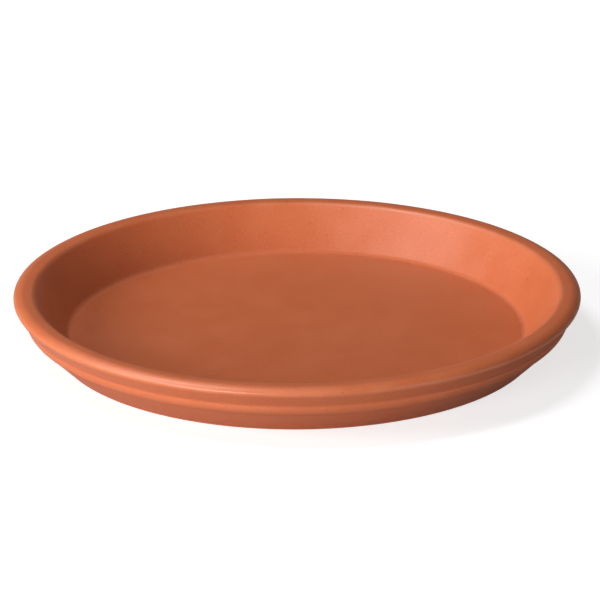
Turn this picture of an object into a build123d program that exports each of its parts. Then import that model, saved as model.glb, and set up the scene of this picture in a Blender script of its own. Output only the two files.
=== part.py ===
from build123d import *
from math import sqrt
import os

# Plant saucer: a shallow round tray of unglazed fired clay, turned as one piece.
# Origin at the middle of the plane that it stands on, +Z up, sizes in millimetres.

# Whole saucer
rim_radius = 150.0
height = 30.8

# Foot: a ring that the saucer stands on, round a hollowed underside
foot_inset = 22.8
foot_ring_width = 17.0
foot_bevel = 0.6
recess_depth = 1.5
recess_slope = 3.0

# Lower wall: the foot's short edge, a skirt up to a faint ridge, and a straight flare from there to the bead
foot_edge_height = 1.7
foot_edge_flare = 1.1
ridge_height = 4.4
ridge_flare = 4.2

# Bead: a half-round moulding between the lower wall and the groove under the rim band
bead_height = 6.2
bead_flare = 3.5
bead_swell = 1.2

# Rim band and lip: the band ends in a tight round edge, which rolls over into the lip by a wider crown
rim_band_height = 11.2
rim_overhang = 5.9
rim_edge_round = 2.0
rim_crown_round = 8.0
rim_crown_width = 5.4
lip_width = 10.9
lip_fall = 0.3
lip_inner_round = 4.2

# Inside: a flat floor and a straight sloping wall
floor_height = 7.0
floor_inset = 6.0
floor_cove = 4.0

# Heights and radii that follow from the sizes above
foot_radius = rim_radius - foot_inset
ring_inner_radius = foot_radius - foot_ring_width
recess_radius = ring_inner_radius - recess_slope
groove_radius = rim_radius - rim_overhang
groove_height = height - rim_band_height
bead_root_radius = groove_radius - bead_flare
bead_root_height = groove_height - bead_height
lip_inner_radius = rim_radius - lip_width
floor_radius = foot_radius - floor_inset

# The rim's edge circle lies inside the crown's circle and touches it: how far its middle is out from
# the crown's middle and above it, and how much further out the point is where they touch
edge_reach = rim_crown_width - rim_edge_round
edge_rise = sqrt((rim_crown_round - rim_edge_round) ** 2 - edge_reach**2)
touch_share = rim_crown_round / (rim_crown_round - rim_edge_round)

# Corners of the half section, as distance from the axis and height
underside_middle = (0, recess_depth)
recess_corner = (recess_radius, recess_depth)
ring_inner_corner = (ring_inner_radius, 0)
foot_corner = (foot_radius, 0)
foot_edge_corner = (foot_radius + foot_edge_flare, foot_edge_height)
ridge = (foot_radius + ridge_flare, ridge_height)
bead_root = (bead_root_radius, bead_root_height)
groove = (groove_radius, groove_height)
rim_top = (rim_radius - rim_crown_width, height)
rim_edge_centre = (rim_radius - rim_edge_round, height - rim_crown_round + edge_rise)
crown_start = (
    rim_radius - rim_crown_width + edge_reach * touch_share,
    height - rim_crown_round + edge_rise * touch_share,
)
lip_inner_corner = (lip_inner_radius, height - lip_fall)
floor_corner = (floor_radius, floor_height)
floor_middle = (0, floor_height)

# Each corner of the inside that the clay rounds off, with its radius
rounded_corners = [
    (lip_inner_corner, lip_inner_round),
    (floor_corner, floor_cove),
]

os.makedirs("parts", exist_ok=True)

with BuildPart() as saucer:
    with BuildSketch(Plane.XZ) as half_section:
        with BuildLine():
            # Underside: hollowed middle, slope down to the foot ring, and the ring
            Polyline(underside_middle, recess_corner, ring_inner_corner, foot_corner)
            # The foot's edge, the skirt and the lower wall, then the bead, which swells outwards
            Polyline(foot_corner, foot_edge_corner, ridge, bead_root)
            SagittaArc(bead_root, groove, -bead_swell)
            # The band that rises from the groove to the rim's edge: the outer of the two lines
            # through the groove that touch the edge circle
            edge_circle = CenterArc(rim_edge_centre, rim_edge_round, 0, 360, mode=Mode.PRIVATE)
            band = ConstrainedLines(edge_circle, groove, selector=lambda lines: lines.sort_by(Axis.X)[-1])
            # The edge, and the crown over which it rolls into the lip
            edge = TangentArc(band @ 0, crown_start, tangent=-(band % 0))
            TangentArc(crown_start, rim_top, tangent=edge % 1)
            # Lip, falling a little inwards, then the inner wall, the floor and the axis
            Polyline(rim_top, lip_inner_corner, floor_corner, floor_middle, underside_middle)
        make_face()
        for corner, corner_radius in rounded_corners:
            fillet(half_section.vertices().sort_by_distance(corner)[0], corner_radius)
        chamfer(half_section.vertices().sort_by_distance(foot_corner)[0], foot_bevel)
    revolve(axis=Axis.Z)

saucer.part.label = "saucer"
export_step(saucer.part, "parts/saucer.step")
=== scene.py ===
import math

import bmesh
import bpy
import numpy as np
from mathutils import Matrix, Vector, noise


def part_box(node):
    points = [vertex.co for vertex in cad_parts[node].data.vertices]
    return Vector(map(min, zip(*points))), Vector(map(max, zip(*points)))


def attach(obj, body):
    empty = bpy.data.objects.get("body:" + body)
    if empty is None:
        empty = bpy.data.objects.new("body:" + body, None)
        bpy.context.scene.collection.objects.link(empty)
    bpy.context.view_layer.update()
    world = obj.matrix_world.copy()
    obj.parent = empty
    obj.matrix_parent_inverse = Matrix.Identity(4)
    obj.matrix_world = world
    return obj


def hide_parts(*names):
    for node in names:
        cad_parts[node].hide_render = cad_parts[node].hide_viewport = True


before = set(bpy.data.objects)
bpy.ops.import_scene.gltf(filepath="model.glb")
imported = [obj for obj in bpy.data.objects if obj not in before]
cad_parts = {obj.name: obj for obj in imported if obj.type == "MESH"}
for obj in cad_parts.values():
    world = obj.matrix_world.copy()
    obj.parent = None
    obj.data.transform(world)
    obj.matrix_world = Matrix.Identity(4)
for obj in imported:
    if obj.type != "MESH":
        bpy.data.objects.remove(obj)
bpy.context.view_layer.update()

# Terracotta plant saucer on a pale studio floor.
# Metres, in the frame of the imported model: the saucer stands on z = 0 round the origin,
# and the camera stands on the -Y side.

MM = 0.001

# Picture
IMAGE_SIDE = 600
ORIGIN_IN_PICTURE = (297.1, 341.0)
VIEW_DISTANCE_IN_RADII = 15
VIEW_ELEVATION = math.radians(20.64)
VIEW_ROLL = math.radians(-0.23)
SENSOR_WIDTH = 36.0
LENS = 254.1

# Mesh of the clay: rings along the turned outline, points round each ring
WELD_DISTANCE = 0.001 * MM
FINE_STEP = 0.2 * MM
WALL_STEP = 0.6 * MM
FLAT_STEP = 1.8 * MM
WALL_STARTS_AT_SHARE = 0.66
SEGMENTS = 288
CORNER_SOFTNESS = 0.45 * MM

# Warp of the wall. Each wave: how often it rises round the rim, its share, and its phases in rise
# and in spread
WARP_HEIGHT = 0.25 * MM
WARP_RADIUS = 0.25 * MM
WARP_WAVES = [
    (2, 0.7, 0.6, 2.4),
    (3, 0.3, 2.1, 0.4),
]

# Lumps, each with its size and depth, and the marks of turning, which drift a little round the saucer
LUMPS = [
    (30 * MM, 0.06 * MM),
    (9 * MM, 0.018 * MM),
]
TURNING_MARK_DEPTH = 0.012 * MM
TURNING_MARK_SPACING = 3.1 * MM
TURNING_MARK_RISE_SHARE = 0.8
TURNING_MARK_DRIFT = 0.35
TURNING_MARK_SLICE = 7.3
FOOT_KEEPS_FLAT_BELOW = 3 * MM

# Edges: how tight a ridge or a hollow has to be to show full wear, or full dust and full painted shade
WEAR_AND_SHADE_RADIUS = 2.5 * MM

# Clay: colours, gloss and roughness
CLAY = (0.60, 0.142, 0.048)
CLAY_DEEP = (0.50, 0.105, 0.031)
CLAY_PALE = (0.68, 0.20, 0.08)
DARK_SPECK = (0.20, 0.035, 0.014)
PALE_SPECK = (0.80, 0.36, 0.20)
CLAY_GLOSS = 0.70
LEAST_ROUGHNESS = 0.40
MOST_ROUGHNESS = 0.50
DUSTY_ROUGHNESS = 0.95

# Mottling: how large the patches, the grain and the grit are, and how strongly each shows
KILN_PATCH = 90 * MM
KILN_PATCH_STRENGTH = 0.20
SMALL_PATCH = 16 * MM
SMALL_PATCH_STRENGTH = 0.16
GRAIN = 1.1 * MM
DARK_GRIT = 1.2 * MM
DARK_GRIT_STRENGTH = 0.30
PALE_GRIT = 1.0 * MM
PALE_GRIT_STRENGTH = 0.25
PALE_GRIT_SHIFT = (0.31, 0.17, 0.05)
# Painted shade: how much the hollows are painted towards the deeper clay colour
PAINTED_HOLLOW_SHADE_STRENGTH = 0.35

# Relief of the surface: how deep the grain and the pits are
GRAIN_BUMP_STRENGTH = 0.35
GRAIN_DEPTH = 0.10 * MM
PIT_BUMP_STRENGTH = 0.5
PIT_DEPTH = 0.15 * MM

# Light. Each lamp: how far it is turned left from the camera's side, how high it stands, and its power
LAMPS = [
    (math.radians(34), math.radians(10), 36.0),
    (math.radians(70), math.radians(25), 26.0),
    (math.radians(106), math.radians(65), 22.5),
    (math.radians(-50), math.radians(4), 9.0),
]
LAMP_DISTANCE = 2.2
LAMP_SIZE = 0.9
AMBIENT = 0.05

# Backdrop, as reflections see it: white below one height of view and dark above the other, as sines
WHITE_BELOW = 0.03
DIM_ABOVE = 0.08

# Floor: its glow is for the eye, and reflections see a share of it
FLOOR_SIDE = 24.0
FLOOR_COLOUR = (0.50, 0.50, 0.50)
FLOOR_GLOW = 0.72
FLOOR_GLOW_REFLECTED_SHARE = 0.05


def half_section(node):
    """Outline of the turned solid in its XZ half plane, from the middle of the underside round the rim
    to the middle of the floor, as rows of (distance from the axis, height)."""
    cut = bmesh.new()
    cut.from_mesh(node.data)
    bmesh.ops.remove_doubles(cut, verts=cut.verts, dist=WELD_DISTANCE)
    for normal, keep_ahead in (((0, 1, 0), False), ((1, 0, 0), True)):
        bmesh.ops.bisect_plane(
            cut,
            geom=cut.verts[:] + cut.edges[:] + cut.faces[:],
            dist=WELD_DISTANCE,
            plane_co=(0, 0, 0),
            plane_no=normal,
            clear_inner=True,
            clear_outer=not keep_ahead,
        )
    ends = [v for v in cut.verts if len(v.link_edges) == 1]
    point = min(ends, key=lambda v: v.co.z)
    came_by = None
    outline = [(0.0, point.co.z)]
    while True:
        onward = [e for e in point.link_edges if e is not came_by]
        if not onward:
            break
        came_by = onward[0]
        point = came_by.other_vert(point)
        outline.append((point.co.x, point.co.z))
    outline[-1] = (0.0, point.co.z)
    cut.free()
    return np.array(outline)


def distances_along(outline):
    steps = np.hypot(*np.diff(outline, axis=0).T)
    return np.concatenate([[0.0], np.cumsum(steps)])


def resampled(outline, places):
    along = distances_along(outline)
    return np.column_stack([np.interp(places, along, outline[:, k]) for k in range(2)])


def softened(outline, step, softness):
    """The outline with its corners rounded off, as firing leaves them. The ends stay where they are."""
    reach = int(3 * softness / step)
    offsets = np.arange(-reach, reach + 1) * step
    weights = np.exp(-0.5 * (offsets / softness) ** 2)
    weights /= weights.sum()
    padded = np.pad(outline, ((reach, reach), (0, 0)), mode="reflect", reflect_type="odd")
    return np.column_stack([np.convolve(padded[:, k], weights, mode="valid") for k in range(2)])


def ring_outline(outline):
    """The softened outline at the rings of the mesh, close together on the wall and further apart on the
    flat floor and underside, with each ring's outward normal and its curvature, positive on a ridge."""
    length = distances_along(outline)[-1]
    fine_places = np.linspace(0, length, int(length / FINE_STEP) + 1)
    step = fine_places[1]
    fine = softened(resampled(outline, fine_places), step, CORNER_SOFTNESS)
    travel = np.gradient(fine, step, axis=0)
    travel /= np.hypot(*travel.T)[:, None]
    heading = np.unwrap(np.arctan2(travel[:, 1], travel[:, 0]))
    curvature = np.gradient(heading, step)
    normal = np.column_stack([travel[:, 1], -travel[:, 0]])
    wall = fine[:, 0] > WALL_STARTS_AT_SHARE * fine[:, 0].max()
    ring_share = np.cumsum(np.where(wall, step / WALL_STEP, step / FLAT_STEP))
    rings = np.searchsorted(ring_share, np.arange(1, int(ring_share[-1])))
    rings = rings[(fine[rings, 0] > FLAT_STEP)]
    return fine[rings], normal[rings], curvature[rings]


def unevenness(point, radius, height):
    """How far the surface stands out at a point, from lumps and faint turning marks."""
    out = 0.0
    for size, depth in LUMPS:
        out += depth * noise.noise(point / size)
    mark_place = (radius + TURNING_MARK_RISE_SHARE * height) / TURNING_MARK_SPACING
    drift = TURNING_MARK_DRIFT * math.atan2(point.y, point.x)
    out += TURNING_MARK_DEPTH * noise.noise(Vector((mark_place, drift, TURNING_MARK_SLICE)))
    return out


def warp(angle, share):
    """Rise and spread of the wall where firing drew it out of round. share is 0 at the foot and 1 at
    the rim."""
    rise = 0.0
    spread = 0.0
    for count, part, rise_phase, spread_phase in WARP_WAVES:
        rise += part * math.cos(count * angle + rise_phase)
        spread += part * math.cos(count * angle + spread_phase)
    return share * (WARP_HEIGHT * rise), share * (WARP_RADIUS * spread)


def saucer_mesh(node):
    """The whole saucer as one closed mesh of revolution, with its curvature kept as a point attribute, for
    wear on the ridges and painted shade in the hollows.
    """
    outline = half_section(node)
    rings, normals, curvatures = ring_outline(outline)
    top = outline[:, 1].max()
    points = []
    ridge_wear_and_hollow_shade = []
    for (radius, height), (out_radius, out_height), curvature in zip(rings, normals, curvatures):
        share = height / top
        freedom = min(1.0, height / FOOT_KEEPS_FLAT_BELOW)
        # Curvature: positive on ridges, for wear; negative in hollows, for dust and painted shade
        wear_and_shade = max(-1.0, min(1.0, curvature * WEAR_AND_SHADE_RADIUS))
        for step in range(SEGMENTS):
            angle = step * math.tau / SEGMENTS
            across = Vector((math.cos(angle), math.sin(angle), 0))
            place = across * radius + Vector((0, 0, height))
            rise, spread = warp(angle, share)
            out = freedom * unevenness(place, radius, height)
            place += across * (spread + out * out_radius)
            place.z += rise + out * out_height
            points.append(place)
            ridge_wear_and_hollow_shade.append(wear_and_shade)
    faces = []
    for ring in range(len(rings) - 1):
        low = ring * SEGMENTS
        high = low + SEGMENTS
        for step in range(SEGMENTS):
            after = (step + 1) % SEGMENTS
            faces.append((low + step, low + after, high + after, high + step))
    last = (len(rings) - 1) * SEGMENTS
    for first, turn, height in ((0, -1, outline[0, 1]), (last, 1, outline[-1, 1])):
        middle = len(points)
        points.append(Vector((0, 0, height)))
        ridge_wear_and_hollow_shade.append(0.0)
        for step in range(SEGMENTS):
            pair = (first + step, first + (step + 1) % SEGMENTS)
            faces.append((middle, *pair[::turn]))
    mesh = bpy.data.meshes.new("saucer_clay")
    mesh.from_pydata([tuple(p) for p in points], [], faces)
    attribute = mesh.attributes.new("ridge_wear_and_hollow_shade", "FLOAT", "POINT")
    attribute.data.foreach_set("value", ridge_wear_and_hollow_shade)
    mesh.shade_smooth()
    return mesh


def add_node(tree, kind, inputs=None, **settings):
    """Adds a shader node, sets its properties, and sets each of its inputs or links it to an output."""
    node = tree.nodes.new("ShaderNode" + kind)
    for name, value in settings.items():
        setattr(node, name, value)
    for name, value in (inputs or {}).items():
        if isinstance(value, bpy.types.NodeSocket):
            tree.links.new(value, node.inputs[name])
        else:
            node.inputs[name].default_value = value
    return node


def blended(tree, factor, first, second, how="MIX"):
    """The output of a colour mix of two colours or outputs."""
    inputs = {"Fac": factor, "Color1": opaque(first), "Color2": opaque(second)}
    return add_node(tree, "MixRGB", inputs, blend_type=how).outputs["Color"]


def opaque(colour):
    return (*colour, 1.0) if isinstance(colour, tuple) and len(colour) == 3 else colour


def ranged(tree, value, low, high, to_low=0.0, to_high=1.0):
    """value, carried from one range to another and kept inside it."""
    inputs = {"Value": value, "From Min": low, "From Max": high, "To Min": to_low, "To Max": to_high}
    return add_node(tree, "MapRange", inputs).outputs["Result"]


def clouds(tree, place, size, detail=2.0, roughness=0.5):
    """Noise whose soft patches are about size across, in metres."""
    inputs = {"Vector": place, "Scale": 1 / size, "Detail": detail, "Roughness": roughness}
    return add_node(tree, "TexNoise", inputs).outputs["Fac"]


def calculated(tree, operation, first, second):
    return add_node(tree, "Math", {0: first, 1: second}, operation=operation).outputs["Value"]


def bumped(tree, height, strength, depth, **more):
    """The surface's normal, tilted by the relief of an output. more may hold the Normal it starts from."""
    inputs = {"Height": height, "Strength": strength, "Distance": depth, **more}
    return add_node(tree, "Bump", inputs).outputs["Normal"]


def empty_material(name):
    material = bpy.data.materials.new(name)
    material.use_nodes = True
    material.node_tree.nodes.clear()
    return material, material.node_tree


def terracotta():
    """Unglazed fired clay: mottled orange red, matt, with grain, grit, slightly rubbed ridges and painted
    shade in the hollows.
    """
    material, tree = empty_material("terracotta")
    place = add_node(tree, "TexCoord").outputs["Object"]
    wear_and_shade = add_node(tree, "Attribute", attribute_name="ridge_wear_and_hollow_shade").outputs["Fac"]

    # Colour: broad patches from the kiln, smaller patches, grain, rubbed ridges, painted shade in the
    # hollows, grit of both kinds
    broad = ranged(tree, clouds(tree, place, KILN_PATCH), 0.35, 0.65)
    patches = ranged(tree, clouds(tree, place, SMALL_PATCH, detail=3), 0.35, 0.70)
    grain = clouds(tree, place, GRAIN, detail=3, roughness=0.65)
    colour = blended(tree, ranged(tree, broad, 0, 1, 0, KILN_PATCH_STRENGTH), CLAY, CLAY_DEEP)
    colour = blended(tree, ranged(tree, patches, 0, 1, 0, SMALL_PATCH_STRENGTH), colour, CLAY_PALE)
    grain_tint = ranged(tree, grain, 0.3, 0.7, 0.93, 1.06)
    colour = blended(tree, 1.0, colour, grain_tint, "MULTIPLY")
    ridge = ranged(tree, wear_and_shade, 0.1, 1.0)
    patchy = ranged(tree, patches, 0, 1, 0.15, 0.45)
    colour = blended(tree, calculated(tree, "MULTIPLY", ridge, patchy), colour, CLAY_PALE)
    # Painted shade: the hollows are darkened towards the deeper clay colour
    painted_hollow_shade = ranged(tree, wear_and_shade, -1.0, -0.1, PAINTED_HOLLOW_SHADE_STRENGTH, 0.0)
    colour = blended(tree, painted_hollow_shade, colour, CLAY_DEEP)
    dark_spots = clouds(tree, place, DARK_GRIT, detail=0)
    dark_grit = ranged(tree, dark_spots, 0.76, 0.82, 0, DARK_GRIT_STRENGTH)
    colour = blended(tree, dark_grit, colour, DARK_SPECK)
    shifted = add_node(tree, "VectorMath", {0: place, 1: PALE_GRIT_SHIFT}, operation="ADD")
    pale_spots = clouds(tree, shifted.outputs["Vector"], PALE_GRIT, detail=0)
    pale_grit = ranged(tree, pale_spots, 0.77, 0.83, 0, PALE_GRIT_STRENGTH)
    colour = blended(tree, pale_grit, colour, PALE_SPECK)

    # Relief: fine grain, and pits where the dark grit is
    grainy = bumped(tree, grain, GRAIN_BUMP_STRENGTH, GRAIN_DEPTH)
    pits = calculated(tree, "MULTIPLY", dark_grit, -1.0)
    pitted = bumped(tree, pits, PIT_BUMP_STRENGTH, PIT_DEPTH, Normal=grainy)

    # Finish: matt, and roughest where dust settles in the hollows
    finish = calculated(tree, "ADD", grain, patches)
    finish = ranged(tree, finish, 0.5, 1.5, LEAST_ROUGHNESS, MOST_ROUGHNESS)
    dust = ranged(tree, wear_and_shade, -0.5, -0.05, DUSTY_ROUGHNESS, 0.0)
    finish = calculated(tree, "MAXIMUM", finish, dust)
    shader = add_node(
        tree,
        "BsdfPrincipled",
        {
            "Base Color": colour,
            "Roughness": finish,
            "Specular IOR Level": CLAY_GLOSS,
            "Normal": pitted,
        },
    )
    add_node(tree, "OutputMaterial", {"Surface": shader.outputs["BSDF"]})
    return material


def seen_by_eye(tree, reflections):
    """1 for camera rays, reflections for reflected and transmitted rays, and 0 for the light that falls
    on the object. reflections is a number or an output."""
    path = add_node(tree, "LightPath").outputs
    reflected = calculated(tree, "MAXIMUM", path["Is Glossy Ray"], path["Is Transmission Ray"])
    reflected = calculated(tree, "MULTIPLY", reflected, reflections)
    return calculated(tree, "MAXIMUM", path["Is Camera Ray"], reflected)


def floor_finish():
    """Pale matt floor with a glow for the eye alone, so that it looks white and keeps the shadow."""
    material, tree = empty_material("pale_floor")
    matt = add_node(tree, "BsdfDiffuse", {"Color": opaque(FLOOR_COLOUR)})
    strength = calculated(tree, "MULTIPLY", seen_by_eye(tree, FLOOR_GLOW_REFLECTED_SHARE), FLOOR_GLOW)
    glow = add_node(tree, "Emission", {"Strength": strength})
    both = add_node(tree, "AddShader", {0: matt.outputs["BSDF"], 1: glow.outputs["Emission"]})
    add_node(tree, "OutputMaterial", {"Surface": both.outputs["Shader"]})
    return material


def add_object(name, data):
    thing = bpy.data.objects.new(name, data)
    bpy.context.scene.collection.objects.link(thing)
    return thing


def add_saucer():
    saucer = add_object("clay_saucer", saucer_mesh(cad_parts["saucer"]))
    saucer.data.materials.append(terracotta())
    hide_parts("saucer")
    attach(saucer, "root")
    return saucer


def add_floor():
    half = FLOOR_SIDE / 2
    mesh = bpy.data.meshes.new("floor")
    corners = [(-half, -half, 0), (half, -half, 0), (half, half, 0), (-half, half, 0)]
    mesh.from_pydata(corners, [], [(0, 1, 2, 3)])
    mesh.materials.append(floor_finish())
    floor = add_object("floor", mesh)


def add_world():
    """Faint light from all round, and white for the eye. Reflections see that white only near the floor,
    since a studio is dark above its backdrop."""
    world = bpy.data.worlds.new("studio")
    world.use_nodes = True
    tree = world.node_tree
    tree.nodes.clear()
    soft = add_node(tree, "Background", {"Color": (1, 1, 1, 1), "Strength": AMBIENT})
    white = add_node(tree, "Background", {"Color": (1, 1, 1, 1), "Strength": 1.0})
    direction = add_node(tree, "TexCoord").outputs["Generated"]
    height = add_node(tree, "SeparateXYZ", {"Vector": direction}).outputs["Z"]
    backdrop = seen_by_eye(tree, ranged(tree, height, WHITE_BELOW, DIM_ABOVE, 1.0, 0.0))
    both = add_node(
        tree,
        "MixShader",
        {0: backdrop, 1: soft.outputs["Background"], 2: white.outputs["Background"]},
    )
    add_node(tree, "OutputWorld", {"Surface": both.outputs["Shader"]})
    bpy.context.scene.world = world


def add_lamps():
    """Large soft lamps pointed at the saucer, nearly all of their light from the left of the camera."""
    for turn, elevation, watts in LAMPS:
        lamp = bpy.data.lights.new("lamp", "AREA")
        lamp.shape = "DISK"
        lamp.size = LAMP_SIZE
        lamp.energy = watts
        flat = Vector((-math.sin(turn), -math.cos(turn), 0)) * math.cos(elevation)
        towards = flat + Vector((0, 0, math.sin(elevation)))
        stand = add_object("lamp", lamp)
        stand.location = towards * LAMP_DISTANCE
        stand.rotation_euler = (-towards).to_track_quat("-Z", "Y").to_euler()


def add_camera():
    """A long lens above the -Y side, turned so that the origin shows where it does in the photograph."""
    lens = bpy.data.cameras.new("camera")
    lens.sensor_width = SENSOR_WIDTH
    lens.lens = LENS
    focal_pixels = LENS / SENSOR_WIDTH * IMAGE_SIDE
    right_of_origin = IMAGE_SIDE / 2 - ORIGIN_IN_PICTURE[0]
    above_origin = ORIGIN_IN_PICTURE[1] - IMAGE_SIDE / 2
    distance = VIEW_DISTANCE_IN_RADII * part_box("saucer")[1].x
    turned = (
        Matrix.Rotation(math.pi / 2 - VIEW_ELEVATION, 3, "X")
        @ Matrix.Rotation(VIEW_ROLL, 3, "Z")
        @ Matrix.Rotation(math.atan(above_origin / focal_pixels), 3, "X")
        @ Matrix.Rotation(-math.atan(right_of_origin / focal_pixels), 3, "Y")
    )
    camera = add_object("camera", lens)
    camera.location = (0, -distance * math.cos(VIEW_ELEVATION), distance * math.sin(VIEW_ELEVATION))
    camera.rotation_euler = turned.to_euler()
    bpy.context.scene.camera = camera


bpy.context.scene.view_settings.view_transform = "Standard"
add_saucer()
add_floor()
add_world()
add_lamps()
add_camera()
